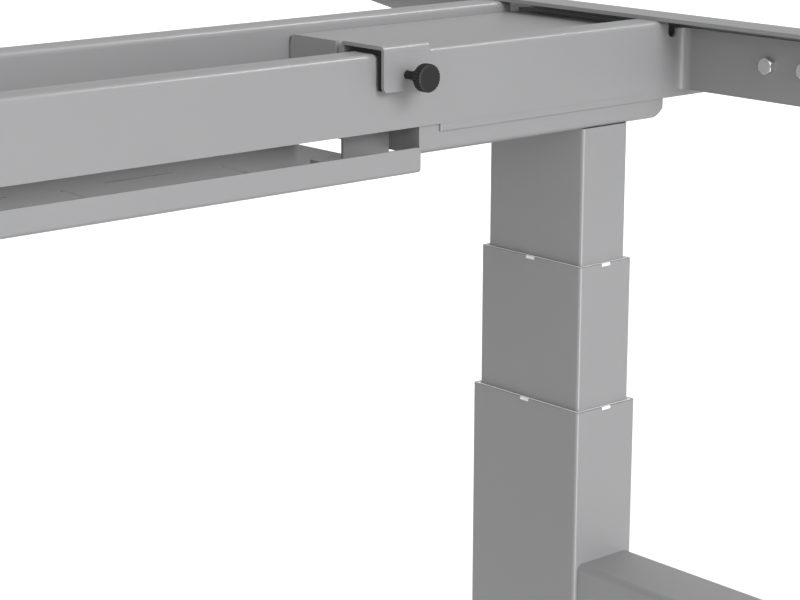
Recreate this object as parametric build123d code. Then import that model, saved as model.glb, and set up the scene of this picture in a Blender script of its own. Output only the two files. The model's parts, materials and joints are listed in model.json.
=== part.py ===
"""Two-column standing desk frame: three-stage legs, twin folded rails and a clip-on cable tray.

X runs along the rails, Y from the front to the back, Z up from the floor. Each piece is drawn with
Y = 0 on the front rail's front face, and the whole frame is then centred on its own depth.
"""
from build123d import *
import os

os.makedirs("parts", exist_ok=True)

# Layout
LEG_SPACING = 1040.0          # between the two column centres
TOP_HEIGHT = 780.0            # floor to the rails' top at rest
FIT_GAP = 0.2                 # between a piece and the pocket it is fixed in
SHAFT_GAP = 0.06              # radial play of a turning screw in its hole

# Twin folded rails
RAIL_HEIGHT = 45.0
RAIL_LIP = 19.0
RAIL_SHEET = 2.0
RAIL_BEND = 2.6               # bend radius on the sheet's middle line
RAIL_PITCH = 145.0            # front rail's face to rear rail's face
RAIL_REACH = 68.0             # column centre to the outer face of a rail's end
LIP_REACH = 51.0              # column centre to the end of a rail's lips
RELIEF_WIDTH = 8.0            # slot between the lip and the bent end
RELIEF_DEPTH = 11.0
TONGUE_LENGTH = 136.0         # end of each rail, bent forward along the arm
TONGUE_INSET = 5.5            # tongue below the rail's top
TONGUE_BEND = 8.0

# Side arms, folded angles that carry the desk top
ARM_SHEET = 2.5
ARM_WIDTH = 27.5
ARM_REAR = 340.0
ARM_FRONT = -302.0
ARM_DEPTH = 42.0              # at the rails, with the top flange
ARM_TIP_DEPTH = 14.0
ARM_TAPER = 190.0             # length of each tapered end
ARM_CORNER = 8.0
TOP_HOLE = 6.5                # screw holes for the desk top
TOP_HOLE_INSET = 12.0         # flange's free edge to the line of holes
TOP_HOLE_OUTER = 280.0        # hole pairs, each side of the arm's middle
TOP_HOLE_INNER = 165.0

# Head of each column
PLATE_THICKNESS = 4.5
PLATE_INNER = 142.0           # column centre to the plate's inner end
PLATE_OUTER = 88.0
PLATE_SETBACK = 0.4           # behind the front rail's face
PLATE_CORNER = 1.2
BRACKET_SHEET = 3.0
BRACKET_HEIGHT = 12.9
BRACKET_INNER = 157.5
BRACKET_OUTER = 50.0
BRACKET_SETBACK = 2.0
BRACKET_CHAMFER = 6.5
BRACKET_BEND = 3.2
COVER_DROP = 6.8              # gear cover's top below the rails' top
COVER_SHEET = 1.5
COVER_CORNER = 2.5
COVER_GAP = 1.0               # to the rails, the bolts and the plate's inner end

# Three-stage column
UPPER_WIDTH = 40.0
UPPER_DEPTH = 85.0
TUBE_WALL = 1.5
TUBE_PLAY = 1.75              # between one tube and the next, each side
TUBE_CORNER = 2.5
COLUMN_SETBACK = 3.5          # upper tube's face behind the front rail's face
UPPER_SHOWN = 87.7            # length of upper tube that shows at rest
MIDDLE_SHOWN = 94.1
UPPER_LENGTH = 480.0
MIDDLE_LENGTH = 480.0
GLIDE_LENGTH = 39.0
GLIDE_PLAY = 0.3              # between a glide and the tube that runs on it
GLIDE_SEAT = 0.1              # between a glide and the tube that holds it
CLIP_WIDTH = 8.0              # rim notch for a glide's clip
CLIP_DEPTH = 2.0

# Drive inside each column
MOTOR_LENGTH = 123.0
MOTOR_DIAMETER = 34.0
MOTOR_FLANGE = 8.0
SPINDLE_DIAMETER = 12.0
SPINDLE_FOOT = 228.0          # height of its lower end at rest
SCREW_DIAMETER = 20.0         # hollow screw between the spindle and the nut
SCREW_TOP = 495.0
BRIDGE_THICKNESS = 8.0
NUT_BASE = 408.0
NUT_HEIGHT = 20.0
NUT_WIDTH = 34.0
NUT_DEPTH = 76.0
STAND_PLATE = 6.0
POST_DIAMETER = 10.0
POST_OFFSET = 28.0
POST_PLAY = 0.6

# Side frame that stands on the floor
BAR_WIDTH = 47.0
BAR_HEIGHT = 45.0
BAR_WALL = 2.0
BAR_CORNER = 4.0
FOOT_CLEARANCE = 15.0         # floor to the underside of the foot
FOOT_REAR = 140.0
FOOT_FRONT = -430.0
POST_FRONT = -400.0
SIDE_RAIL_TOP = 433.3
CAP_THICKNESS = 3.0
CAP_PLUG = 14.0
LEVELLER_DIAMETER = 36.0
LEVELLER_PAD = 8.0
LEVELLER_STEM = 8.0
LEVELLER_TOP = 38.0
LEVELLER_INSET = 30.0         # from each end of the foot
BUSH_DIAMETER = 16.0
BUSH_LENGTH = 12.0

# Cable tray and its two saddle hangers
TRAY_SHEET = 1.5
TRAY_DEPTH = 119.0
TRAY_WALL = 15.2
TRAY_DROP = 72.4              # rails' top to the tray's underside
TRAY_END = 158.0              # column centre to the tray's end
TRAY_BEND = 2.0
TRAY_CORNER = 3.0
TRAY_SLOT_LENGTH = 30.0
TRAY_SLOT_WIDTH = 4.0
TRAY_SLOT_Y = 72.0
TRAY_SLOT_PITCH = 112.0
TRAY_SLIT_LENGTH = 48.0
TRAY_SLIT_WIDTH = 2.5
TRAY_SLIT_Y = 88.0
HANGER_SHEET = 2.2
HANGER_WIDTH = 35.0
HANGER_CENTRE = 175.0         # column centre to the hanger's middle
HANGER_BEND = 2.3
HANGER_STANDOFF = 5.0         # rail's face to the back of the front tab
HANGER_TAB = 21.5             # tab's lower edge below the rails' top
HANGER_STRAP_Y = 29.0         # front of the strap behind the front rail
HANGER_FOOT = 30.0
WING_REACH = 78.0             # side wing's rear edge
WING_DEPTH = 40.0
WING_RISE = 4.3
WING_CORNER = 6.0
WING_RELIEF = 4.5
WING_RELIEF_DEPTH = 8.0
PAD_THICKNESS = 2.8           # rubber lining between hanger and rail
PAD_MARGIN = 1.0
SCREW_DROP = 12.3             # thumbscrew's axis below the rails' top
SCREW_SHANK = 5.0
SCREW_COLLAR = 7.0
SCREW_HEAD = 16.4
SCREW_HEAD_LENGTH = 6.3
SCREW_FRONT = -27.0
SCREW_TIP_GAP = 0.3
KNURL_COUNT = 28
KNURL_DEPTH = 0.35

# Fasteners
BOLT_DIAMETER = 6.0
BOLT_HOLE = 6.4
BOLT_HEAD = 10.0              # across the flats
BOLT_HEAD_HEIGHT = 4.0
NUT_THICKNESS = 5.0
TONGUE_BOLTS = (70.0, 100.0)  # from the rail's face
PLATE_BOLTS = (-110.0, 30.0)  # from the column centre
PLATE_BOLT_Y = 11.5           # behind each rail's face
RIVET_DIAMETER = 4.0
RIVET_HEAD = 8.0
RIVET_HEAD_HEIGHT = 1.2

# Worked-out heights and places
LEG_X = LEG_SPACING / 2
RAIL_BOTTOM = TOP_HEIGHT - RAIL_HEIGHT
PLATE_BOTTOM = RAIL_BOTTOM - PLATE_THICKNESS
BRACKET_BOTTOM = PLATE_BOTTOM - BRACKET_HEIGHT
BEAM_REAR = RAIL_PITCH + RAIL_LIP
COLUMN_Y = COLUMN_SETBACK + UPPER_DEPTH / 2
TUBE_STEP = 2 * (TUBE_WALL + TUBE_PLAY)
MIDDLE_WIDTH = UPPER_WIDTH + TUBE_STEP
MIDDLE_DEPTH = UPPER_DEPTH + TUBE_STEP
LOWER_WIDTH = MIDDLE_WIDTH + TUBE_STEP
LOWER_DEPTH = MIDDLE_DEPTH + TUBE_STEP
MIDDLE_TOP = BRACKET_BOTTOM - UPPER_SHOWN
LOWER_TOP = MIDDLE_TOP - MIDDLE_SHOWN
UPPER_BOTTOM = BRACKET_BOTTOM - UPPER_LENGTH
MIDDLE_BOTTOM = MIDDLE_TOP - MIDDLE_LENGTH
FOOT_TOP = FOOT_CLEARANCE + BAR_HEIGHT
LOWER_FRONT = COLUMN_Y - LOWER_DEPTH / 2
MOTOR_BOTTOM = BRACKET_BOTTOM - MOTOR_LENGTH
ARM_OUTER = RAIL_REACH + ARM_SHEET
ARM_TOP = TOP_HEIGHT + ARM_SHEET
ARM_MIDDLE = (ARM_REAR + ARM_FRONT) / 2
TRAY_BOTTOM = TOP_HEIGHT - TRAY_DROP
TRAY_FLOOR = TRAY_BOTTOM + TRAY_SHEET
TRAY_HALF = LEG_X - TRAY_END
LINING_TOP = TOP_HEIGHT + PAD_THICKNESS
DEPTH_SHIFT = -(ARM_REAR + FOOT_FRONT - CAP_THICKNESS) / 2


def folded(points, sheet, bend):
    """Section of a folded sheet whose middle line runs through the points."""
    return trace(FilletPolyline(*points, radius=bend), line_width=sheet)


def along_x(section, low, high):
    """Carries a section drawn in Y and Z from one X to another."""
    return Pos(low, 0, 0) * extrude(Plane.YZ * section, high - low)


def block(x, y, z):
    """Box between pairs of coordinates."""
    size = (x[1] - x[0], y[1] - y[0], z[1] - z[0])
    middle = ((x[0] + x[1]) / 2, (y[0] + y[1]) / 2, (z[0] + z[1]) / 2)
    return Pos(*middle) * Box(*size)


def upright(radius, low, high, x=0.0, y=0.0):
    """Round bar along Z between two heights."""
    return Pos(x, y, low) * extrude(Circle(radius), high - low)


def across_x(radius, low, high, y, z):
    """Round bar along X."""
    return Pos(low, y, z) * extrude(Plane.YZ * Circle(radius), high - low)


def across_y(radius, low, high, x, z):
    """Round bar along Y."""
    return Pos(x, high, z) * extrude(Plane.XZ * Circle(radius), high - low)


def ring(width, depth, wall, corner, low, high):
    """Upright rectangular tube with round corners."""
    inner_corner = max(corner - wall, wall / 2)
    hollow = RectangleRounded(width - 2 * wall, depth - 2 * wall, inner_corner)
    return Pos(0, 0, low) * extrude(RectangleRounded(width, depth, corner) - hollow, high - low)


def inside_of(width, depth, wall, corner):
    """Outline of a piece that fits inside a rectangular tube."""
    loss = 2 * (wall + FIT_GAP)
    return RectangleRounded(width - loss, depth - loss, corner - wall)


def hex_bolt(length):
    """Bolt along Z: head below zero, shank above."""
    head = Pos(0, 0, -BOLT_HEAD_HEIGHT) * extrude(hexagon(), BOLT_HEAD_HEIGHT)
    return head + upright(BOLT_DIAMETER / 2, 0, length)


def hex_nut():
    """Nut along Z, standing on zero."""
    return extrude(hexagon() - Circle(BOLT_DIAMETER / 2 + SHAFT_GAP), NUT_THICKNESS)


def hexagon():
    """Hexagon with the bolts' width across the flats."""
    return RegularPolygon(BOLT_HEAD / 2, 6, major_radius=False)


def rail(face_y):
    """Channel with both lips to the rear, and a web whose ends are bent forward into tongues."""
    half_sheet = RAIL_SHEET / 2
    lip_end = LEG_X + LIP_REACH
    top = TOP_HEIGHT - half_sheet
    bottom = RAIL_BOTTOM + half_sheet
    channel = folded([(RAIL_LIP, top), (half_sheet, top), (half_sheet, bottom), (RAIL_LIP, bottom)],
                     RAIL_SHEET, RAIL_BEND)
    body = along_x(channel, -lip_end, lip_end)
    end = LEG_X + RAIL_REACH - half_sheet
    plan = folded([(-end, -TONGUE_LENGTH), (-end, half_sheet), (end, half_sheet), (end, -TONGUE_LENGTH)],
                  RAIL_SHEET, TONGUE_BEND)
    body += Pos(0, 0, RAIL_BOTTOM) * extrude(plan, RAIL_HEIGHT - TONGUE_INSET)
    for side in (-1, 1):
        relief_x = side * (lip_end + RELIEF_WIDTH / 2)
        slot_end = TOP_HEIGHT - RELIEF_DEPTH + RELIEF_WIDTH / 2
        body -= across_y(RELIEF_WIDTH / 2, 0, RAIL_SHEET, relief_x, slot_end)
        sides = (relief_x - RELIEF_WIDTH / 2, relief_x + RELIEF_WIDTH / 2)
        body -= block(sides, (0, RAIL_SHEET), (slot_end, TOP_HEIGHT))
        wall = (side * (end - RAIL_SHEET), side * (end + RAIL_SHEET))
        for reach in TONGUE_BOLTS:
            body -= across_x(BOLT_HOLE / 2, min(wall), max(wall), -reach, RAIL_BOTTOM + RAIL_HEIGHT / 2)
        for offset in PLATE_BOLTS:
            hole_x = side * (LEG_X + offset)
            body -= upright(BOLT_HOLE / 2, RAIL_BOTTOM, RAIL_BOTTOM + RAIL_SHEET, hole_x, PLATE_BOLT_Y)
    return Pos(0, face_y, 0) * body


def arm():
    """Right side arm: one folded angle with tapered ends and holes for the desk top's screws."""
    tip = ARM_TOP - ARM_TIP_DEPTH
    deep = ARM_TOP - ARM_DEPTH
    outline = Polyline((ARM_FRONT, ARM_TOP), (ARM_REAR, ARM_TOP), (ARM_REAR, tip),
                       (ARM_REAR - ARM_TAPER, deep), (ARM_FRONT + ARM_TAPER, deep), (ARM_FRONT, tip),
                       close=True)
    web = along_x(make_face(outline), ARM_OUTER - ARM_SHEET, ARM_OUTER)
    inner = ARM_OUTER - ARM_WIDTH
    flange = block((inner, ARM_OUTER), (ARM_FRONT, ARM_REAR), (TOP_HEIGHT, ARM_TOP))
    free_corners = flange.edges().filter_by(Axis.Z).group_by(Axis.X)[0]
    flange = fillet(free_corners, ARM_CORNER)
    body = flange + web
    fold = body.edges().filter_by(Axis.Y).group_by(Axis.Z)[-1].sort_by(Axis.X)[-1]
    body = fillet(fold, ARM_SHEET)
    hole_x = inner + TOP_HOLE_INSET
    for offset in (-TOP_HOLE_OUTER, -TOP_HOLE_INNER, TOP_HOLE_INNER, TOP_HOLE_OUTER):
        body -= upright(TOP_HOLE / 2, TOP_HEIGHT, ARM_TOP, hole_x, ARM_MIDDLE + offset)
    for face_y in (0, RAIL_PITCH):
        for reach in TONGUE_BOLTS:
            body -= across_x(BOLT_HOLE / 2, ARM_OUTER - ARM_SHEET, ARM_OUTER,
                             face_y - reach, RAIL_BOTTOM + RAIL_HEIGHT / 2)
    return body


def arm_bolts():
    """Bolts that clamp the rails' tongues to the arm, with their nuts outside."""
    seat = RAIL_REACH - RAIL_SHEET
    grip = RAIL_SHEET + ARM_SHEET
    group = Part()
    for face_y in (0, RAIL_PITCH):
        for reach in TONGUE_BOLTS:
            place = Pos(seat, face_y - reach, RAIL_BOTTOM + RAIL_HEIGHT / 2) * Rot(0, 90, 0)
            group += place * hex_bolt(grip + NUT_THICKNESS)
            group += place * Pos(0, 0, grip) * hex_nut()
    return group


def head_plate():
    """Thick plate that both rails stand on, above the column."""
    y_range = (PLATE_SETBACK, BEAM_REAR - PLATE_SETBACK)
    plate = block((-PLATE_INNER, PLATE_OUTER), y_range, (PLATE_BOTTOM, RAIL_BOTTOM))
    plate = fillet(plate.edges().filter_by(Axis.Z), PLATE_CORNER)
    for offset in PLATE_BOLTS:
        for face_y in (0, RAIL_PITCH):
            plate -= upright(BOLT_HOLE / 2, PLATE_BOTTOM, RAIL_BOTTOM, offset, face_y + PLATE_BOLT_Y)
    return plate


def plate_bolts():
    """Bolts from under the head plate up through the rails' lower lips."""
    grip = PLATE_THICKNESS + RAIL_SHEET
    group = Part()
    for offset in PLATE_BOLTS:
        for face_y in (0, RAIL_PITCH):
            place = Pos(offset, face_y + PLATE_BOLT_Y, PLATE_BOTTOM)
            group += place * hex_bolt(grip + NUT_THICKNESS)
            group += place * Pos(0, 0, grip) * hex_nut()
    return group


def head_bracket():
    """Shallow folded pan under the head plate: its inner end is closed and reaches up to the rails."""
    half_sheet = BRACKET_SHEET / 2
    front = BRACKET_SETBACK + half_sheet
    rear = 2 * COLUMN_Y - front
    floor = BRACKET_BOTTOM + half_sheet
    section = folded([(front, PLATE_BOTTOM), (front, floor), (rear, floor), (rear, PLATE_BOTTOM)],
                     BRACKET_SHEET, BRACKET_BEND)
    body = along_x(section, -BRACKET_INNER, BRACKET_OUTER)
    raised = (-BRACKET_INNER, -PLATE_INNER - FIT_GAP)
    for wall in (front, rear):
        body += block(raised, (wall - half_sheet, wall + half_sheet), (PLATE_BOTTOM, RAIL_BOTTOM))
    body += block((-BRACKET_INNER, -BRACKET_INNER + BRACKET_SHEET), (front, rear), (floor, RAIL_BOTTOM))
    corner = Polyline((BRACKET_OUTER - BRACKET_CHAMFER, BRACKET_BOTTOM), (BRACKET_OUTER, BRACKET_BOTTOM),
                      (BRACKET_OUTER, BRACKET_BOTTOM + BRACKET_CHAMFER), close=True)
    back = rear + BRACKET_SHEET
    return body - Pos(0, back, 0) * extrude(Plane.XZ * make_face(corner), back)


def pressed_box(x, y, z, corner):
    """Box with its upright and top edges rounded."""
    body = block(x, y, z)
    return fillet(body.edges().filter_by(Axis.Z) + body.edges().group_by(Axis.Z)[-1], corner)


def gear_cover():
    """Pressed cover between the rails, welded along its lower edge to the head plate."""
    x = (-PLATE_INNER + COVER_GAP, RAIL_REACH - RAIL_SHEET - BOLT_HEAD_HEIGHT - COVER_GAP)
    y = (RAIL_LIP + COVER_GAP, RAIL_PITCH - COVER_GAP)
    top = TOP_HEIGHT - COVER_DROP
    outer = pressed_box(x, y, (RAIL_BOTTOM, top), COVER_CORNER)
    inner_x = (x[0] + COVER_SHEET, x[1] - COVER_SHEET)
    inner_y = (y[0] + COVER_SHEET, y[1] - COVER_SHEET)
    inner = pressed_box(inner_x, inner_y, (RAIL_BOTTOM, top - COVER_SHEET), COVER_CORNER - COVER_SHEET)
    return outer - inner


def stage_tube(width, depth, low, high, notched):
    """One stage of the column, with clip notches in the middle of each side of its rim."""
    body = Pos(0, COLUMN_Y, 0) * ring(width, depth, TUBE_WALL, TUBE_CORNER, low, high)
    if notched:
        half = CLIP_WIDTH / 2
        rim = (high - CLIP_DEPTH, high)
        body -= block((-half, half), (COLUMN_Y - depth / 2, COLUMN_Y + depth / 2), rim)
        body -= block((-width / 2, width / 2), (COLUMN_Y - half, COLUMN_Y + half), rim)
    return body


def rim_glide(width, depth, rim):
    """Plastic collar in a tube's mouth, with four clips that sit in the rim's notches."""
    inside_width = width - 2 * TUBE_WALL
    inside_depth = depth - 2 * TUBE_WALL
    wall = TUBE_PLAY - GLIDE_PLAY - GLIDE_SEAT
    corner = TUBE_CORNER - TUBE_WALL
    collar = ring(inside_width - 2 * GLIDE_SEAT, inside_depth - 2 * GLIDE_SEAT, wall, corner,
                  rim - GLIDE_LENGTH, rim)
    half = CLIP_WIDTH / 2 - GLIDE_SEAT
    level = (rim - CLIP_DEPTH + GLIDE_SEAT, rim)
    reach = TUBE_WALL + GLIDE_SEAT + wall / 2
    clip_out = GLIDE_PLAY
    for sign in (-1, 1):
        side_y = sorted((sign * (depth / 2 - clip_out), sign * (depth / 2 - reach)))
        side_x = sorted((sign * (width / 2 - clip_out), sign * (width / 2 - reach)))
        collar += block((-half, half), side_y, level)
        collar += block(side_x, (-half, half), level)
    return Pos(0, COLUMN_Y, 0) * collar


def foot_glide(width, depth, low):
    """Plastic collar round the lower end of an inner tube."""
    wall = TUBE_PLAY - GLIDE_PLAY - GLIDE_SEAT
    outer = 2 * (GLIDE_SEAT + wall)
    high = low + GLIDE_LENGTH
    return Pos(0, COLUMN_Y, 0) * ring(width + outer, depth + outer, wall, TUBE_CORNER + wall, low, high)


def drive_motor():
    """Upright motor under the head bracket: mounting flange, can and output collar."""
    flange = inside_of(UPPER_WIDTH, UPPER_DEPTH, TUBE_WALL, TUBE_CORNER)
    body = Pos(0, 0, BRACKET_BOTTOM - MOTOR_FLANGE) * extrude(flange, MOTOR_FLANGE)
    can_bottom = MOTOR_BOTTOM + SCREW_DIAMETER
    body += upright(MOTOR_DIAMETER / 2, can_bottom, BRACKET_BOTTOM - MOTOR_FLANGE)
    body += upright(SCREW_DIAMETER / 2, MOTOR_BOTTOM, can_bottom)
    return Pos(0, COLUMN_Y, 0) * body


def drive_spindle():
    """Spindle that hangs from the motor into the hollow screw."""
    return upright(SPINDLE_DIAMETER / 2, SPINDLE_FOOT, MOTOR_BOTTOM, 0, COLUMN_Y)


def hollow_screw():
    """Tube screw carried by the middle stage, threaded inside and out."""
    tube = Circle(SCREW_DIAMETER / 2) - Circle(SPINDLE_DIAMETER / 2 + FIT_GAP)
    return Pos(0, COLUMN_Y, MIDDLE_BOTTOM) * extrude(tube, SCREW_TOP - MIDDLE_BOTTOM)


def screw_bridge():
    """Plate across the middle tube's lower end that holds the hollow screw."""
    plate = inside_of(MIDDLE_WIDTH, MIDDLE_DEPTH, TUBE_WALL, TUBE_CORNER)
    plate -= Circle(SCREW_DIAMETER / 2)
    for sign in (-1, 1):
        plate -= Pos(0, sign * POST_OFFSET) * Circle(POST_DIAMETER / 2 + POST_PLAY)
    return Pos(0, COLUMN_Y, MIDDLE_BOTTOM) * extrude(plate, BRIDGE_THICKNESS)


def nut_stand():
    """Drive nut on two posts that stand on the foot."""
    plate = Pos(0, 0, FOOT_TOP) * extrude(Rectangle(NUT_WIDTH, NUT_DEPTH), STAND_PLATE)
    nut = Rectangle(NUT_WIDTH, NUT_DEPTH) - Circle(SCREW_DIAMETER / 2 + FIT_GAP)
    body = plate + Pos(0, 0, NUT_BASE) * extrude(nut, NUT_HEIGHT)
    for sign in (-1, 1):
        body += upright(POST_DIAMETER / 2, FOOT_TOP + STAND_PLATE, NUT_BASE, 0, sign * POST_OFFSET)
    return Pos(0, COLUMN_Y, 0) * body


def bar_section():
    """Section of the side frame's box bars, open inside."""
    hollow = RectangleRounded(BAR_WIDTH - 2 * BAR_WALL, BAR_HEIGHT - 2 * BAR_WALL, BAR_CORNER - BAR_WALL)
    return RectangleRounded(BAR_WIDTH, BAR_HEIGHT, BAR_CORNER) - hollow


def level_bar(rear, front, top):
    """Box bar along Y under a given top height."""
    return Pos(0, rear, top - BAR_HEIGHT / 2) * extrude(Plane.XZ * bar_section(), rear - front)


def leveller_places():
    """Places of the levelling feet along the foot, rear first."""
    return (FOOT_REAR - LEVELLER_INSET, FOOT_FRONT + LEVELLER_INSET)


def foot():
    """Floor bar of the side frame, with a threaded bush for each levelling foot."""
    body = level_bar(FOOT_REAR, FOOT_FRONT, FOOT_TOP)
    for place in leveller_places():
        body += upright(BUSH_DIAMETER / 2, FOOT_CLEARANCE, FOOT_CLEARANCE + BUSH_LENGTH, 0, place)
        body -= upright(LEVELLER_STEM / 2 + SHAFT_GAP, FOOT_CLEARANCE, FOOT_CLEARANCE + BUSH_LENGTH, 0, place)
    return body


def side_rail():
    """Box bar from the lower tube's front face to the front post."""
    return level_bar(LOWER_FRONT, POST_FRONT, SIDE_RAIL_TOP)


def front_post():
    """Box post between the foot and the side rail."""
    low = FOOT_TOP
    high = SIDE_RAIL_TOP - BAR_HEIGHT
    return Pos(0, POST_FRONT + BAR_HEIGHT / 2, low) * extrude(bar_section(), high - low)


def end_cap(top):
    """Plastic plug for a bar's front end, drawn at Y = 0 and facing forward."""
    inside = inside_of(BAR_WIDTH, BAR_HEIGHT, BAR_WALL, BAR_CORNER)
    cover = extrude(Plane.XZ * RectangleRounded(BAR_WIDTH, BAR_HEIGHT, BAR_CORNER), CAP_THICKNESS)
    cover = chamfer(cover.faces().sort_by(Axis.Y)[0].edges(), CAP_THICKNESS / 3)
    plug = Pos(0, CAP_PLUG, 0) * extrude(Plane.XZ * inside, CAP_PLUG)
    return Pos(0, 0, top - BAR_HEIGHT / 2) * (cover + plug)


def end_caps():
    """Caps for both ends of the foot and the front end of the side rail."""
    rear_cap = Pos(0, FOOT_REAR, 0) * mirror(end_cap(FOOT_TOP), about=Plane.XZ)
    front_cap = Pos(0, FOOT_FRONT, 0) * end_cap(FOOT_TOP)
    return rear_cap + front_cap + Pos(0, POST_FRONT, 0) * end_cap(SIDE_RAIL_TOP)


def leveller(place):
    """Levelling foot: round pad, hexagon for the spanner and stem."""
    edge = LEVELLER_PAD / 4
    pad = chamfer(upright(LEVELLER_DIAMETER / 2, 0, LEVELLER_PAD).edges().group_by(Axis.Z)[-1], edge)
    collar = Pos(0, 0, LEVELLER_PAD) * extrude(hexagon(), BOLT_HEAD_HEIGHT)
    return Pos(0, place, 0) * (pad + collar + upright(LEVELLER_STEM / 2, LEVELLER_PAD, LEVELLER_TOP))


def tray():
    """Folded cable tray, open at both ends, with tie slots in its floor."""
    half_sheet = TRAY_SHEET / 2
    top = TRAY_BOTTOM + TRAY_WALL
    floor = TRAY_BOTTOM + half_sheet
    section = folded([(half_sheet, top), (half_sheet, floor), (TRAY_DEPTH - half_sheet, floor),
                      (TRAY_DEPTH - half_sheet, top)], TRAY_SHEET, TRAY_BEND)
    body = along_x(section, -TRAY_HALF, TRAY_HALF)
    wall_corners = body.edges().filter_by(Axis.Y).filter_by(lambda edge: edge.length < 2 * TRAY_SHEET)
    body = fillet(wall_corners.group_by(Axis.Z)[-1], TRAY_CORNER)
    count = int(2 * TRAY_HALF / TRAY_SLOT_PITCH)
    for index in range(count):
        x = (index - (count - 1) / 2) * TRAY_SLOT_PITCH
        slot = Rot(0, 0, 90) * SlotOverall(TRAY_SLOT_LENGTH, TRAY_SLOT_WIDTH)
        body -= Pos(x, TRAY_SLOT_Y, TRAY_BOTTOM) * extrude(slot, TRAY_SHEET)
        if index:
            slit = SlotOverall(TRAY_SLIT_LENGTH, TRAY_SLIT_WIDTH)
            body -= Pos(x - TRAY_SLOT_PITCH / 2, TRAY_SLIT_Y, TRAY_BOTTOM) * extrude(slit, TRAY_SHEET)
    for side in (-1, 1):
        for x, y in rivet_places():
            body -= upright(RIVET_DIAMETER / 2, TRAY_BOTTOM, TRAY_FLOOR, side * (LEG_X + x), y)
    return body


def rivet_places():
    """Places of the two rivets through the right hanger's foot, from the column centre."""
    y = HANGER_STRAP_Y + HANGER_SHEET + HANGER_FOOT / 2
    return [(-HANGER_CENTRE + sign * HANGER_WIDTH / 4, y) for sign in (-1, 1)]


def hanger():
    """Saddle hanger: tab, top, strap and foot from one strip, with a side wing bent off the strap."""
    half_sheet = HANGER_SHEET / 2
    tab = -HANGER_STANDOFF - half_sheet
    over = LINING_TOP + half_sheet
    strap = HANGER_STRAP_Y + half_sheet
    foot_level = TRAY_FLOOR + half_sheet
    strip = folded([(tab, TOP_HEIGHT - HANGER_TAB), (tab, over), (strap, over), (strap, foot_level),
                    (strap + HANGER_FOOT, foot_level)], HANGER_SHEET, HANGER_BEND)
    left = -HANGER_CENTRE - HANGER_WIDTH / 2
    right = left + HANGER_WIDTH
    body = along_x(strip, left, right)
    tab_corners = body.edges().filter_by(Axis.Y).group_by(Axis.Y)[0]
    body = fillet(tab_corners, WING_CORNER / 2)
    relief = HANGER_STRAP_Y + HANGER_SHEET + WING_RELIEF
    wing_low = TOP_HEIGHT - WING_DEPTH
    wing_high = TOP_HEIGHT + WING_RISE
    relief_low = TOP_HEIGHT - WING_RELIEF_DEPTH
    outline = Polyline((strap, wing_low), (WING_REACH, wing_low), (WING_REACH, wing_high),
                       (relief, wing_high), (relief, relief_low), (strap, relief_low), close=True)
    wing = along_x(make_face(outline), left, left + HANGER_SHEET)
    rear_edges = wing.edges().filter_by(Axis.X).group_by(Axis.Y)[-1]
    body += fillet(rear_edges, WING_CORNER)
    body -= across_y(SCREW_SHANK / 2 + SHAFT_GAP, tab - HANGER_SHEET, tab + HANGER_SHEET,
                     -HANGER_CENTRE, TOP_HEIGHT - SCREW_DROP)
    for place in rivet_places():
        body -= upright(RIVET_DIAMETER / 2, TRAY_FLOOR, TRAY_FLOOR + HANGER_SHEET, *place)
    return body


def tray_rivets():
    """Rivets that hold the tray's floor to the hanger's foot."""
    group = Part()
    top = TRAY_FLOOR + HANGER_SHEET
    for x, y in rivet_places():
        shank = upright(RIVET_DIAMETER / 2, TRAY_BOTTOM, top, x, y)
        head = upright(RIVET_HEAD / 2, top, top + RIVET_HEAD_HEIGHT, x, y)
        tail = upright(RIVET_HEAD / 2, TRAY_BOTTOM - RIVET_HEAD_HEIGHT, TRAY_BOTTOM, x, y)
        group += shank + head + tail
    return group


def hanger_pad():
    """Rubber lining between the hanger and the rail's top and front."""
    back = -HANGER_STANDOFF
    low = TOP_HEIGHT - HANGER_TAB + PAD_MARGIN
    outline = Polyline((back, low), (back + PAD_THICKNESS, low), (back + PAD_THICKNESS, TOP_HEIGHT),
                       (RAIL_LIP, TOP_HEIGHT), (RAIL_LIP, LINING_TOP), (back, LINING_TOP), close=True)
    left = -HANGER_CENTRE - HANGER_WIDTH / 2
    body = along_x(make_face(outline), left, left + HANGER_WIDTH)
    fold = body.edges().filter_by(Axis.X).group_by(Axis.Z)[-1].sort_by(Axis.Y)[0]
    body = fillet(fold, HANGER_BEND - HANGER_SHEET / 2)
    return body - across_y(SCREW_COLLAR / 2, back, 0, -HANGER_CENTRE, TOP_HEIGHT - SCREW_DROP)


def thumbscrew():
    """Knurled thumbscrew through the hanger's tab, with its tip just short of the rail."""
    x = -HANGER_CENTRE
    z = TOP_HEIGHT - SCREW_DROP
    head_back = SCREW_FRONT + SCREW_HEAD_LENGTH
    tab_front = -HANGER_STANDOFF - HANGER_SHEET
    collar_end = (head_back + tab_front) / 2
    knurl = Circle(SCREW_HEAD / 2)
    for spot in PolarLocations(SCREW_HEAD / 2, KNURL_COUNT):
        knurl -= spot * Rectangle(2 * KNURL_DEPTH, 2 * KNURL_DEPTH, rotation=45)
    head = Pos(x, head_back, z) * extrude(Plane.XZ * knurl, SCREW_HEAD_LENGTH)
    collar = across_y(SCREW_COLLAR / 2, head_back, collar_end, x, z)
    return head + collar + across_y(SCREW_SHANK / 2, collar_end, -SCREW_TIP_GAP, x, z)


def save(name, shape):
    """Writes one node, moved so that the frame's box is centred over the origin."""
    export_step(Pos(0, DEPTH_SHIFT, 0) * shape, f"parts/{name}.step")


def save_pair(name, shape):
    """Writes a leg's piece at the right column, and its mirror image at the left."""
    placed = Pos(LEG_X, 0, 0) * shape
    save(f"{name}_right", placed)
    save(f"{name}_left", mirror(placed, about=Plane.YZ))


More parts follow.
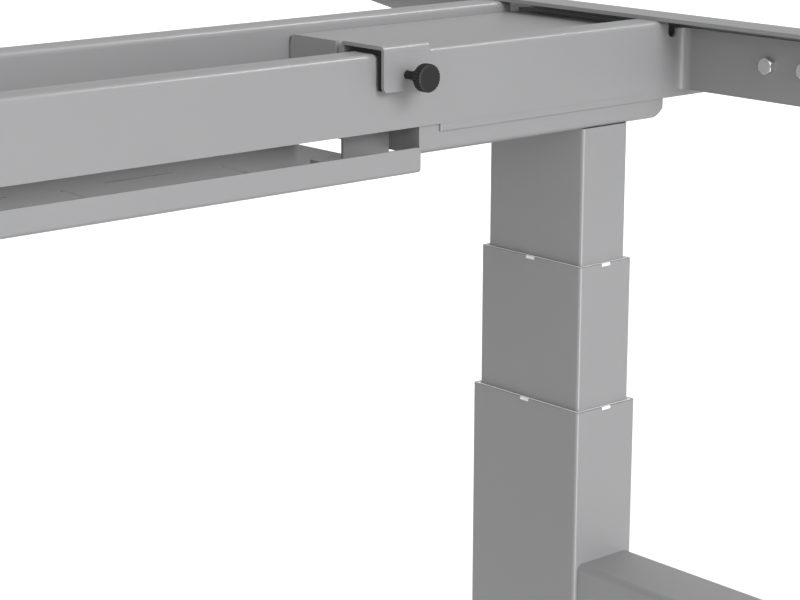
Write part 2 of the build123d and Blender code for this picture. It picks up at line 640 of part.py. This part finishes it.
save("front_rail", rail(0))
save("rear_rail", rail(RAIL_PITCH))
save("cable_tray", tray())
save_pair("side_arm", arm())
save_pair("arm_bolts", arm_bolts())
save_pair("head_plate", head_plate())
save_pair("plate_bolts", plate_bolts())
save_pair("head_bracket", head_bracket())
save_pair("gear_cover", gear_cover())
save_pair("upper_tube", stage_tube(UPPER_WIDTH, UPPER_DEPTH, UPPER_BOTTOM, BRACKET_BOTTOM, False))
save_pair("middle_tube", stage_tube(MIDDLE_WIDTH, MIDDLE_DEPTH, MIDDLE_BOTTOM, MIDDLE_TOP, True))
save_pair("lower_tube", stage_tube(LOWER_WIDTH, LOWER_DEPTH, FOOT_TOP, LOWER_TOP, True))
save_pair("middle_glide", rim_glide(MIDDLE_WIDTH, MIDDLE_DEPTH, MIDDLE_TOP))
save_pair("lower_glide", rim_glide(LOWER_WIDTH, LOWER_DEPTH, LOWER_TOP))
save_pair("upper_shoe", foot_glide(UPPER_WIDTH, UPPER_DEPTH, UPPER_BOTTOM))
save_pair("middle_shoe", foot_glide(MIDDLE_WIDTH, MIDDLE_DEPTH, MIDDLE_BOTTOM))
save_pair("drive_motor", drive_motor())
save_pair("drive_spindle", drive_spindle())
save_pair("hollow_screw", hollow_screw())
save_pair("screw_bridge", screw_bridge())
save_pair("nut_stand", nut_stand())
save_pair("foot", foot())
save_pair("side_rail", side_rail())
save_pair("front_post", front_post())
save_pair("end_caps", end_caps())
for end, place in zip(("rear", "front"), leveller_places()):
    save_pair(f"leveller_{end}", leveller(place))
save_pair("tray_hanger", hanger())
save_pair("tray_rivets", tray_rivets())
save_pair("hanger_pad", hanger_pad())
save_pair("thumbscrew", thumbscrew())
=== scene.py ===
# %% [markdown]
# # A standing desk frame
#
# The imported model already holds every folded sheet, tube and bolt at its real size. This lesson gives those
# pieces their finishes, adds what the solids leave out, such as threads, chamfers, knurls and weld beads, and
# sets up the light and the camera.

# %% Load the frame
import itertools
import json
import math

import bpy
import numpy as np
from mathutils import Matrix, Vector


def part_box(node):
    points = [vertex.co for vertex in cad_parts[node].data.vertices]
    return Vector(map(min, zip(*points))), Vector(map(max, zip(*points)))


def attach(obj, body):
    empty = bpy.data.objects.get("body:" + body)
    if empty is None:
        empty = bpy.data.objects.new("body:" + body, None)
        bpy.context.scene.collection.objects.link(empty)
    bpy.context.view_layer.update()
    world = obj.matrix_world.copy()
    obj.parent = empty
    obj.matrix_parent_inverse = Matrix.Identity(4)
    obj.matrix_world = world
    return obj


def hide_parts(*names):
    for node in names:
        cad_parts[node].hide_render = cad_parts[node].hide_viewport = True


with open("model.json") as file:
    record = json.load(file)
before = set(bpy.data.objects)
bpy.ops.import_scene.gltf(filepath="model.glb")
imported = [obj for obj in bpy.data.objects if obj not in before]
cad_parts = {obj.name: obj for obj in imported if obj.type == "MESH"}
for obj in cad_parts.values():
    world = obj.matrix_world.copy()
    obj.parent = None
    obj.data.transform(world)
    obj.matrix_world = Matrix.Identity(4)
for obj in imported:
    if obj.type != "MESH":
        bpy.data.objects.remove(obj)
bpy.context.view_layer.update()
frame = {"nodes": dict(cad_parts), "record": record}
nodes = frame["nodes"]
SIDES = ("right", "left")
MM = 0.001

# %% [markdown]
# ## Shader maths as plain expressions
#
# A finish is a small formula over the surface. Nodes can be added one by one, but then the formula is hard to
# read. Here one class wraps a socket, so that `grain * 0.3 + 0.4` adds the Math nodes by itself. Every other
# node comes from its `node` method.


# %% The socket class
class Shade:
    """One output socket of a node tree, or the bare tree where socket is None."""

    def __init__(self, tree, socket=None):
        self.tree = tree
        self.socket = socket

    def node(self, kind, settings=None, inputs=None, output=0):
        """Adds a node, makes its settings, then sets or links its inputs, and gives one of its outputs."""
        made = self.tree.nodes.new("ShaderNode" + kind)
        for name, value in (settings or {}).items():
            setattr(made, name, value)
        for name, value in (inputs or {}).items():
            if isinstance(value, Shade):
                self.tree.links.new(value.socket, made.inputs[name])
            else:
                made.inputs[name].default_value = value
        return Shade(self.tree, made.outputs[output])

    def math(self, operation, other):
        """Math node on this value and another value or number."""
        return self.node("Math", {"operation": operation}, {0: self, 1: other})

    def __add__(self, other):
        return self.math("ADD", other)

    def __mul__(self, other):
        return self.math("MULTIPLY", other)

    __radd__ = __add__
    __rmul__ = __mul__

    def mix(self, low, high):
        """Colour between low and high, with this value as the factor."""
        return self.node("Mix", {"data_type": "RGBA"}, {0: self, 6: low, 7: high}, output=2)


print("socket class ready")


# %% Shader helpers
def new_finish(name, constants):
    """A material, its Principled shader with the constant sockets set, and a Shade on its tree."""
    material = bpy.data.materials.new(name)
    material.use_nodes = True
    shader = material.node_tree.nodes["Principled BSDF"]
    for socket, value in constants.items():
        shader.inputs[socket].default_value = value
    return material, shader, Shade(material.node_tree)


def feed(shader, socket, value):
    """Links a worked-out value to one of the shader's sockets."""
    value.tree.links.new(value.socket, shader.inputs[socket])


def noise(start, cells, detail=2.0):
    """Smooth noise over the piece's own coordinates, about 0 to 1, with that many cells a metre."""
    where = start.node("TexCoord", output="Object")
    return start.node("TexNoise", None, {"Vector": where, "Scale": cells, "Detail": detail})


def bumped(start, height, distance, strength):
    """Normal tilted by a height map, whose full height stands for that distance in metres."""
    return start.node("Bump", None, {"Strength": strength, "Distance": distance, "Height": height})


def grey(level, cool=0.0):
    """Grey colour; cool lifts the blue by that share."""
    return (level, level, level * (1 + cool), 1.0)


FINISHES = {}
print("shader helpers ready")

# %% [markdown]
# ## Powder coat
#
# The frame is dusted with dry paint and baked, which leaves a fine orange peel: bumps about a millimetre
# wide and a few hundredths of one high. The paint flows a little, so the sheen drifts over a hand's width. A
# painted texture would need every folded sheet unwrapped. Noise needs only the piece's own coordinates: a
# fine one for the peel, a finer one for specks of pigment and a broad one for the drift.

# %% Powder coat
COAT_COOL = 0.02
COAT_DARK = grey(0.224, COAT_COOL)
COAT_LIGHT = grey(0.250, COAT_COOL)
COAT_ROUGH = 0.34
DRIFT_CELLS, PEEL_CELLS, SPECK_CELLS = 9.0, 950.0, 2600.0
PEEL_HIGH = 0.05 * MM


def powder_coat():
    """Light grey satin paint: colour and sheen follow drift and specks, the normal follows the peel."""
    constants = {"IOR": 1.5, "Coat Weight": 0.25, "Coat Roughness": 0.22}
    material, shader, start = new_finish("powder_coat", constants)
    drift = noise(start, DRIFT_CELLS)
    peel = noise(start, PEEL_CELLS, detail=3.0)
    speck = noise(start, SPECK_CELLS, detail=1.0)
    feed(shader, "Base Color", (drift * 0.6 + speck * 0.4).mix(COAT_DARK, COAT_LIGHT))
    feed(shader, "Roughness", drift * 0.08 + speck * 0.06 + COAT_ROUGH)
    feed(shader, "Normal", bumped(start, peel * 0.7 + speck * 0.3, PEEL_HIGH, strength=0.35))
    return material


FINISHES["powder_coat"] = powder_coat()
print("powder coat of", len(FINISHES["powder_coat"].node_tree.nodes), "nodes")

# %% [markdown]
# ## Metals, plastics and rubber
#
# Zinc on bolts is bluish and cloudy, and the drive's screws are rolled and greased steel. In both, one cloudy
# noise moves colour and roughness together. The knobs, caps and feet are moulded from black plastic with a
# spark-eroded grain, the glides from a smoother white plastic, the motors are painted black and the hanger's
# lining is dull rubber. These four could each have a node tree written out, but they differ only in tone,
# sheen and depth of grain, so one function makes them all.


# %% Metals
def metal(name, dark, light, cloud_cells, rough, rough_range, grain_cells, grain_deep):
    """Bare metal: a cloudy noise moves colour and roughness, and a fine one makes the grain."""
    material, shader, start = new_finish(name, {"Metallic": 1.0})
    cloud = noise(start, cloud_cells, detail=4.0)
    feed(shader, "Base Color", cloud.mix(dark, light))
    feed(shader, "Roughness", cloud * rough_range + rough)
    feed(shader, "Normal", bumped(start, noise(start, grain_cells), grain_deep, strength=0.3))
    return material


FINISHES["zinc_steel"] = metal(
    "zinc_steel", dark=(0.50, 0.51, 0.53, 1.0), light=(0.70, 0.70, 0.68, 1.0), cloud_cells=320.0,
    rough=0.22, rough_range=0.25, grain_cells=2200.0, grain_deep=0.02 * MM)
FINISHES["screw_steel"] = metal(
    "screw_steel", dark=(0.26, 0.25, 0.24, 1.0), light=(0.52, 0.52, 0.52, 1.0), cloud_cells=60.0,
    rough=0.18, rough_range=0.30, grain_cells=1500.0, grain_deep=0.03 * MM)
print("metals made, finishes so far", list(FINISHES))

# %% Plastics, motor paint and rubber
GRAIN_CELLS, SHEEN_CELLS = 1800.0, 45.0


def moulded(name, dark, light, rough, grain_deep):
    """Moulded skin: grain and a slow drift move colour and roughness, and the grain tilts the normal."""
    material, shader, start = new_finish(name, {"IOR": 1.48, "Specular IOR Level": 0.25})
    grain = noise(start, GRAIN_CELLS, detail=3.0)
    drift = noise(start, SHEEN_CELLS)
    feed(shader, "Base Color", (grain * 0.5 + drift * 0.5).mix(grey(dark), grey(light)))
    feed(shader, "Roughness", grain * 0.16 + drift * 0.08 + rough)
    feed(shader, "Normal", bumped(start, grain, grain_deep, strength=0.4))
    return material


SKINS = {
    "motor_black": dict(dark=0.018, light=0.045, rough=0.30, grain_deep=0.04 * MM),
    "glide_plastic": dict(dark=0.78, light=0.86, rough=0.32, grain_deep=0.02 * MM),
    "black_plastic": dict(dark=0.008, light=0.020, rough=0.34, grain_deep=0.06 * MM),
    "black_rubber": dict(dark=0.006, light=0.014, rough=0.62, grain_deep=0.08 * MM),
}
for name, facts in SKINS.items():
    FINISHES[name] = moulded(name, **facts)
print("skins made", list(SKINS))

# %% Finishes on the solids
for subpart in frame["record"]["subparts"]:
    mesh = nodes[subpart["node"]].data
    mesh.materials.clear()
    mesh.materials.append(FINISHES[subpart["material_slot"]])

# %% [markdown]
# ## Surfaces on a grid
#
# A turned piece, a thread and a weld bead are all a grid of points: one parameter goes along the piece and
# the other goes round it. A Screw modifier could spin a profile, but a knurl or a hexagon changes with the
# angle too. So each helper works out the whole grid as one array and hands it to the mesh in one go.


# %% Closed tubes
def grid_faces(rows, columns):
    """Quads between neighbouring rows of a grid whose columns close into a ring."""
    row, column = np.meshgrid(np.arange(rows - 1), np.arange(columns), indexing="ij")
    follow = (column + 1) % columns
    corners = (row * columns + column, row * columns + follow,
               (row + 1) * columns + follow, (row + 1) * columns + column)
    return np.stack(corners, axis=-1).reshape(-1, 4)


def closed_tube(name, *tubes):
    """Mesh from tubes with a fan at each end; a tube is rings of points, shape (rows, columns, 3)."""
    vertices, faces, base = [], [], 0
    for points in tubes:
        rows, columns, _ = points.shape
        first, last, end = rows * columns, rows * columns + 1, (rows - 1) * columns
        step = np.arange(columns)
        follow = (step + 1) % columns
        fans = np.concatenate([np.stack([follow, step, np.full(columns, first)], axis=-1),
                               np.stack([end + step, end + follow, np.full(columns, last)], axis=-1)])
        faces += (grid_faces(rows, columns) + base).tolist() + (fans + base).tolist()
        vertices += [points.reshape(-1, 3), points[:1].mean(axis=1), points[-1:].mean(axis=1)]
        base += rows * columns + 2
    mesh = bpy.data.meshes.new(name)
    mesh.from_pydata(np.concatenate(vertices).tolist(), [], faces)
    mesh.update()
    return mesh


def place(name, mesh, body, slot, replaced=None):
    """Puts a mesh in the scene on its body, with its slot's finish, in place of a node if one is named."""
    mesh.materials.append(FINISHES[slot])
    piece = bpy.data.objects.new(name, mesh)
    bpy.context.scene.collection.objects.link(piece)
    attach(piece, body)
    if replaced:
        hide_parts(replaced)
    print(name, "on", body, "with", len(mesh.polygons), "faces")


print("tube helpers ready")


# %% Turned grids
def ring_angles(columns):
    """Angles of the points of one ring, evenly spread over a full turn."""
    return np.linspace(0, 2 * np.pi, columns, endpoint=False)


def turned(radius, along, centre, axis):
    """Rings of radius[row, column] at distance along[row] from centre, round the X, Y or Z axis.

    A point is centre + along * axis + radius * (cos a, sin a) across the axis.
    """
    angle = ring_angles(radius.shape[1])
    wide = radius * np.cos(angle)
    high = radius * np.sin(angle)
    far = np.broadcast_to(along[:, None], radius.shape)
    stacked = {"X": (far, wide, high), "Y": (wide, far, -high), "Z": (wide, high, far)}
    return np.stack(stacked[axis], axis=-1) + np.asarray(centre)


def polyline_profile(corners, step):
    """Samples a profile of (along, radius) corners at least every step, keeping each corner."""
    along, radius = np.asarray(corners, dtype=float).T
    counts = np.maximum(1, np.ceil(np.abs(np.diff(along)) / step).astype(int))
    stations = np.concatenate([np.linspace(i, i + 1, n, endpoint=False) for i, n in enumerate(counts)])
    stations = np.append(stations, len(along) - 1)
    index = np.arange(len(along))
    return np.interp(stations, index, along), np.interp(stations, index, radius)


def grooves(count, angle):
    """Even waves round a piece, 0 at a crest to 1 in a groove: 0.5 - 0.5 cos(count * a)."""
    return 0.5 - 0.5 * np.cos(count * angle)


def thread(along, angle, pitch):
    """Screw thread, 0 at the crest to 1 at the root: |2 frac(along / pitch - a / 2 pi) - 1|."""
    turn = along[:, None] / pitch - angle[None, :] / (2 * np.pi)
    return np.abs(2 * (turn % 1.0) - 1)


print("turning helpers ready")

# %% [markdown]
# ## Thumbscrews
#
# A black thumbscrew clamps each tray hanger to the rail. Its head is knurled and its shank is threaded. Both
# could be bump in the plastic, but they show at the outline. So the solid's own profile is turned again as
# one grid, with chamfers, a finer knurl and a real thread.

# %% Thumbscrews
THUMB_COLUMNS, THUMB_STEP = 224, 0.12 * MM
KNURLS, KNURL_DEEP = 28, 0.45 * MM
THUMB_PITCH, THUMB_THREAD_DEEP = 0.8 * MM, 0.30 * MM
HEAD_LONG, COLLAR_END = 6.3 * MM, 13.05 * MM
COLLAR_RADIUS, SHANK_RADIUS = 3.5 * MM, 2.5 * MM
THUMB_EDGE = 0.6 * MM


def thumbscrew_mesh(name, low, high):
    """Turned grid along Y: a knurled head, a plain collar and a threaded shank, with chamfered ends.

    radius = profile - knurl * grooves on the head, and profile - depth * thread on the shank.
    """
    length = high[1] - low[1]
    head = (high[0] - low[0]) / 2
    inner_face, rim, edge = 0.4 * head, head - 2 * THUMB_EDGE, THUMB_EDGE
    corners = [(0.0, inner_face), (0.0, rim), (edge, head), (HEAD_LONG - edge, head),
               (HEAD_LONG, head - edge), (HEAD_LONG, COLLAR_RADIUS), (COLLAR_END - edge, COLLAR_RADIUS),
               (COLLAR_END, SHANK_RADIUS), (length - edge, SHANK_RADIUS), (length, SHANK_RADIUS - edge)]
    along, profile = polyline_profile(corners, THUMB_STEP)
    angle = ring_angles(THUMB_COLUMNS)
    on_head = ((along > 0) & (along < HEAD_LONG) & (profile > rim))[:, None]
    on_shank = ((along > COLLAR_END) & (along < length))[:, None]
    radius = profile[:, None] - on_head * KNURL_DEEP * grooves(KNURLS, angle)
    radius = radius - on_shank * THUMB_THREAD_DEEP * thread(along, angle, THUMB_PITCH)
    centre = ((low[0] + high[0]) / 2, low[1], (low[2] + high[2]) / 2)
    return closed_tube(name, turned(radius, along, centre, "Y"))


for side in SIDES:
    node = f"thumbscrew_{side}"
    place(f"threaded_{node}", thumbscrew_mesh(node, *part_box(node)), node, "black_plastic", node)

# %% [markdown]
# ## Levelling feet
#
# Each foot bar stands on two levelling feet: a ribbed pad, a hexagon for a spanner and a threaded stem. They
# could be three meshes joined together. But the hexagon is only a radius that changes with the angle, so the
# whole foot is one turned grid without a seam.

# %% Levelling feet
FOOT_COLUMNS, FOOT_STEP = 144, 0.2 * MM
PAD_RIBS, RIB_DEEP = 36, 0.4 * MM
STEM_PITCH, STEM_THREAD_DEEP = 1.25 * MM, 0.5 * MM
PAD_HIGH, COLLAR_HIGH = 8.0 * MM, 12.0 * MM
STEM_RADIUS, COLLAR_FLAT = 4.0 * MM, 5.0 * MM
PAD_EDGE = 2.0 * MM


def hexagon_radius(apothem, angle):
    """Distance to a hexagon's side: apothem / cos(angle to the nearest flat's middle)."""
    sixth = np.pi / 3
    return apothem / np.cos((angle + sixth / 2) % sixth - sixth / 2)


def leveller_mesh(name, low, high):
    """Turned grid along Z: a ribbed pad, a hexagon collar and a threaded stem.

    radius = profile - rib * grooves on the pad, the hexagon's own radius on the collar, and
    profile - depth * thread on the stem.
    """
    pad = (high[0] - low[0]) / 2
    height = high[2] - low[2]
    edge = PAD_EDGE
    corners = [(0.0, pad - edge / 2), (edge / 4, pad), (PAD_HIGH - edge, pad), (PAD_HIGH, pad - edge),
               (PAD_HIGH, COLLAR_FLAT), (COLLAR_HIGH, COLLAR_FLAT), (COLLAR_HIGH, STEM_RADIUS),
               (height - edge / 2, STEM_RADIUS), (height, STEM_RADIUS - edge / 2)]
    along, profile = polyline_profile(corners, FOOT_STEP)
    angle = ring_angles(FOOT_COLUMNS)
    on_collar = ((along >= PAD_HIGH) & (along <= COLLAR_HIGH) & (profile == COLLAR_FLAT))[:, None]
    on_rim = ((along > edge) & (along < PAD_HIGH - edge))[:, None]
    on_stem = ((along > COLLAR_HIGH) & (along < height))[:, None]
    radius = np.where(on_collar, hexagon_radius(COLLAR_FLAT, angle), profile[:, None])
    radius = radius - on_rim * RIB_DEEP * grooves(PAD_RIBS, angle)
    radius = radius - on_stem * STEM_THREAD_DEEP * thread(along, angle, STEM_PITCH)
    centre = ((low[0] + high[0]) / 2, (low[1] + high[1]) / 2, low[2])
    return closed_tube(name, turned(radius, along, centre, "Z"))


for side, end in itertools.product(SIDES, ("rear", "front")):
    node = f"leveller_{end}_{side}"
    place(f"threaded_{node}", leveller_mesh(node, *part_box(node)), node, "black_plastic", node)

# %% [markdown]
# ## Bolts, nuts and rivets
#
# Hexagon bolts hold the rails to the arms and to the head plates, and rivets hold the tray to its hangers.
# The solids are plain prisms and discs. A real head or nut is first turned to a cone at its free faces, which
# leaves a curved line on each flat that a Bevel modifier can't give. So here the radius is the smaller of a
# hexagon's and a cone's, and the rivets get domes.

# %% Bolts and nuts
BOLT_COLUMNS, BOLT_STEP = 72, 0.25 * MM
BOLT_FLAT, BOLT_SHANK = 5.0 * MM, 3.0 * MM
HEAD_HIGH, NUT_HIGH = 4.0 * MM, 5.0 * MM
BOLT_RECESS = 0.5 * MM
CORNER_FIRST = np.pi / 6
TONGUE_PITCH, PLATE_PITCH, RAIL_PITCH = 30.0 * MM, 140.0 * MM, 145.0 * MM


def bolt_tube(length, at, axis, towards=1, turn=0.0):
    """Bolt and nut from the head's free face on: radius = min(hexagon, cone), and the shank between them.

    The cone grows by sqrt(3) times the depth below a free face, as a chamfer of 30 degrees does. turn is the
    angle by which the hexagon is turned about the bolt.
    """
    face, wide = 0.94 * BOLT_FLAT, 1.20 * BOLT_FLAT
    mouth, root, tip = 1.15 * BOLT_SHANK, 0.95 * BOLT_SHANK, 0.85 * BOLT_SHANK
    chamfer = (wide - face) / math.sqrt(3)
    nut = length - NUT_HIGH
    corners = [(0.0, face), (chamfer, wide), (HEAD_HIGH, wide), (HEAD_HIGH, BOLT_SHANK), (nut, BOLT_SHANK),
               (nut, face), (nut + chamfer, wide), (length - chamfer, wide), (length, face),
               (length, mouth), (length - BOLT_RECESS, root), (length - BOLT_RECESS / 2, tip)]
    along, limit = polyline_profile(corners, BOLT_STEP)
    hexagon = hexagon_radius(BOLT_FLAT, ring_angles(BOLT_COLUMNS) + turn)
    points = turned(np.minimum(limit[:, None], hexagon), towards * along, at, axis)
    return points if towards > 0 else points[:, ::-1]


def spread(low, high, *steps):
    """Places of a row of bolts along one axis: the sums of the steps, centred between low and high."""
    start = (low + high - sum(steps)) / 2
    return [start + sum(chosen) for chosen in itertools.product(*((0.0, step) for step in steps))]


for side, towards in zip(SIDES, (1, -1)):
    node = f"arm_bolts_{side}"
    low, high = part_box(node)
    head_x = low[0] if towards > 0 else high[0]
    level = (low[2] + high[2]) / 2
    tubes = [bolt_tube(high[0] - low[0], (head_x, y, level), "X", towards)
             for y in spread(low[1], high[1], TONGUE_PITCH, RAIL_PITCH)]
    place(f"chamfered_{node}", closed_tube(node, *tubes), "top", "zinc_steel", node)
    node = f"plate_bolts_{side}"
    low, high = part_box(node)
    tubes = [bolt_tube(high[2] - low[2], (x, y, low[2]), "Z", turn=CORNER_FIRST)
             for x in spread(low[0], high[0], PLATE_PITCH) for y in spread(low[1], high[1], RAIL_PITCH)]
    place(f"chamfered_{node}", closed_tube(node, *tubes), "top", "zinc_steel", node)

# %% Rivets
RIVET_SHANK, RIVET_DOME = 2.0 * MM, 1.2 * MM
DOME_START, DOME_RINGS = 0.08, 10


def rivet_tube(length, head, at):
    """Rivet along Z: elliptic domes and a shank between them.

    In a dome, radius = head * sin(t) at a depth of dome * (1 - cos(t)) below its top.
    """
    sweep = np.linspace(DOME_START, np.pi / 2, DOME_RINGS)
    depth = RIVET_DOME * (1 - np.cos(sweep))
    waist = np.array([RIVET_DOME, length - RIVET_DOME])
    along = np.concatenate([depth, waist, length - depth[::-1]])
    profile = np.concatenate([head * np.sin(sweep), np.full(2, RIVET_SHANK), head * np.sin(sweep[::-1])])
    return turned(np.repeat(profile[:, None], BOLT_COLUMNS, axis=1), along, at, "Z")


for side in SIDES:
    node = f"tray_rivets_{side}"
    low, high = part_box(node)
    head = (high[1] - low[1]) / 2
    tubes = [rivet_tube(high[2] - low[2], head, (x, low[1] + head, low[2]))
             for x in (low[0] + head, high[0] - head)]
    place(f"domed_{node}", closed_tube(node, *tubes), "top", "zinc_steel", node)

# %% [markdown]
# ## Weld beads
#
# The side frame is welded before it is painted, and under the coat each joint keeps a rippled bead. A curve
# with a bevel would be an even rope. A bead swells with each puddle of the weld, so it is a rounded profile
# carried along a straight run, with a size that changes on the way.

# %% Weld beads
BEAD, BEAD_COLUMNS = 3.2 * MM, 16
BEAD_INSET = 6.0 * MM
RIPPLE, SWELL = 2.6 * MM, 0.10
RINGS_A_RIPPLE, FEWEST_RINGS = 6, 12
SUNK_SHARE, BLUNT_SHARE = 0.1, 0.02


def bead_mesh(name, start, end, outward, up):
    """Quarter round carried along the corner of two faces, sunk a little into both.

    Its radius is bead * (1 + swell * |sin(pi s / ripple)|), and tapers as sqrt(distance to the end / bead).
    outward and up are the directions in which the bead stands out from the corner.
    """
    start, end, outward, up = (np.asarray(vector, dtype=float) for vector in (start, end, outward, up))
    length = np.linalg.norm(end - start)
    run = np.linspace(0, length, max(FEWEST_RINGS, int(length / RIPPLE) * RINGS_A_RIPPLE))
    swell = 1 + SWELL * np.abs(np.sin(np.pi * run / RIPPLE))
    taper = np.sqrt(np.clip(np.minimum(run, length - run) / BEAD, BLUNT_SHARE, 1.0))
    angle = ring_angles(BEAD_COLUMNS)
    wide = np.maximum(np.cos(angle), -SUNK_SHARE) * BEAD
    high = np.maximum(np.sin(angle), -SUNK_SHARE) * BEAD
    size = (swell * taper)[:, None]
    direction = (end - start) / length
    points = (start + run[:, None, None] * direction
              + (size * wide)[:, :, None] * outward + (size * high)[:, :, None] * up)
    if np.dot(np.cross(outward, up), direction) < 0:
        points = points[:, ::-1]
    return closed_tube(name, points)


for side in SIDES:
    post_low, post_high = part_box(f"front_post_{side}")
    tube_low, tube_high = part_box(f"lower_tube_{side}")
    rail_low, rail_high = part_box(f"side_rail_{side}")
    left, right = post_low[0] + BEAD_INSET, post_high[0] - BEAD_INSET
    seams = [("post_foot_front", post_low[1], post_low[2], -1, 1),
             ("post_foot_rear", post_high[1], post_low[2], 1, 1),
             ("post_rail_rear", post_high[1], post_high[2], 1, -1),
             ("tube_foot_front", tube_low[1], tube_low[2], -1, 1),
             ("tube_foot_rear", tube_high[1], tube_low[2], 1, 1),
             ("rail_under", rail_high[1], rail_low[2], -1, -1)]
    for seam, y, z, outward, up in seams:
        bead = f"bead_{seam}_{side}"
        mesh = bead_mesh(bead, (left, y, z), (right, y, z), (0, outward, 0), (0, 0, up))
        place(bead, mesh, f"lower_{side}", "powder_coat")

# %% [markdown]
# ## Floor and light
#
# The light is that of a white studio: the faces towards the viewer are the lightest, the tops are a little
# darker and the left faces are the darkest. One big lamp would make them all alike. So a key lamp throws the
# soft shadow under the thumbscrew, two broad low lamps reach below the rails, and a weak one lights the left
# sides. Bends and column corners show as thin bright lines, so a small lamp and a narrow strip are seen in
# reflections alone. The last panel only brightens the floor behind the frame and is kept out of reflections.

# %% Floor and surroundings
FLOOR_HALF = 30.0
FLOOR_DARK, FLOOR_LIGHT = grey(0.73), grey(0.76)
SURROUND = 0.42
floor_corners = [(x * FLOOR_HALF, y * FLOOR_HALF, 0.0) for x, y in ((-1, -1), (1, -1), (1, 1), (-1, 1))]
floor_mesh = bpy.data.meshes.new("floor")
floor_mesh.from_pydata(floor_corners, [], [(0, 1, 2, 3)])
floor_paint, floor_shader, floor_start = new_finish("floor_paint", {"Specular IOR Level": 0.0})
feed(floor_shader, "Base Color", noise(floor_start, cells=3.0).mix(FLOOR_DARK, FLOOR_LIGHT))
feed(floor_shader, "Roughness", noise(floor_start, cells=6.0) * 0.1 + 0.8)
floor_mesh.materials.append(floor_paint)
floor = bpy.data.objects.new("floor", floor_mesh)
bpy.context.scene.collection.objects.link(floor)

world = bpy.data.worlds.new("studio")
world.use_nodes = True
world.node_tree.nodes["Background"].inputs["Color"].default_value = grey(1.0)
world.node_tree.nodes["Background"].inputs["Strength"].default_value = SURROUND
bpy.context.scene.world = world
print("floor of", 2 * FLOOR_HALF, "m, surroundings at", SURROUND)


# %% Lamps
def distant_lamp(name, towards, strength, degrees):
    """Lamp far away in the direction towards, with an angular size in degrees."""
    lamp = bpy.data.objects.new(name, bpy.data.lights.new(name, "SUN"))
    lamp.data.energy = strength
    lamp.data.angle = math.radians(degrees)
    lamp.rotation_euler = Vector(towards).to_track_quat("Z", "Y").to_euler()
    bpy.context.scene.collection.objects.link(lamp)
    return lamp


def panel_lamp(name, at, target, watts, wide, tall):
    """Lamp panel at a place, turned to a target."""
    lamp = bpy.data.objects.new(name, bpy.data.lights.new(name, "AREA"))
    lamp.data.energy = watts
    lamp.data.shape = "RECTANGLE"
    lamp.data.size = wide
    lamp.data.size_y = tall
    lamp.location = at
    lamp.rotation_euler = (Vector(at) - Vector(target)).to_track_quat("Z", "Y").to_euler()
    bpy.context.scene.collection.objects.link(lamp)
    return lamp


lamps = [
    distant_lamp("key", (-0.12, -0.89, 0.44), strength=2.0, degrees=25),
    distant_lamp("low_left", (-0.28, -0.95, 0.08), strength=1.1, degrees=40),
    distant_lamp("low_right", (0.20, -0.97, 0.12), strength=0.75, degrees=40),
    distant_lamp("bend_light", (0.63, -0.24, 0.74), strength=0.8, degrees=10),
    distant_lamp("side", (-0.93, -0.15, 0.33), strength=0.5, degrees=40),
    panel_lamp("floor_wash", (3.6, 4.2, 5.0), (3.6, 4.2, 0.0), watts=460.0, wide=7.0, tall=7.0),
    panel_lamp("corner_strip", (0.10, -1.08, 0.25), (0.52, 0.05, 0.25), watts=9.5, wide=0.10, tall=0.48),
]
for lamp in lamps:
    lamp.visible_glossy = lamp.name != "floor_wash"
    lamp.visible_diffuse = lamp.name not in ("bend_light", "corner_strip")
print("lamps", [lamp.name for lamp in lamps])

# %% [markdown]
# ## Camera
#
# The camera stands at the front left and looks a little down through a long lens. It could track a target,
# but plain angles are easier to compare with the directions of the frame's straight edges. The small shift
# sideways only sets the framing.

# %% Camera
LENS = 104.11
TURN = math.radians(40.378)
DOWN = math.radians(13.888)
CAMERA_AT = (-0.5190, -0.9491, 0.9598)
SIDE_SHIFT = 0.0301
camera = bpy.data.objects.new("camera", bpy.data.cameras.new("camera"))
camera.data.lens = LENS
camera.data.shift_x = SIDE_SHIFT
camera.location = CAMERA_AT
camera.rotation_euler = (math.pi / 2 - DOWN, 0, -TURN)
bpy.context.scene.collection.objects.link(camera)
bpy.context.scene.camera = camera
bpy.context.scene.view_settings.view_transform = "Standard"
print("camera at", CAMERA_AT, "with a lens of", LENS, "mm")
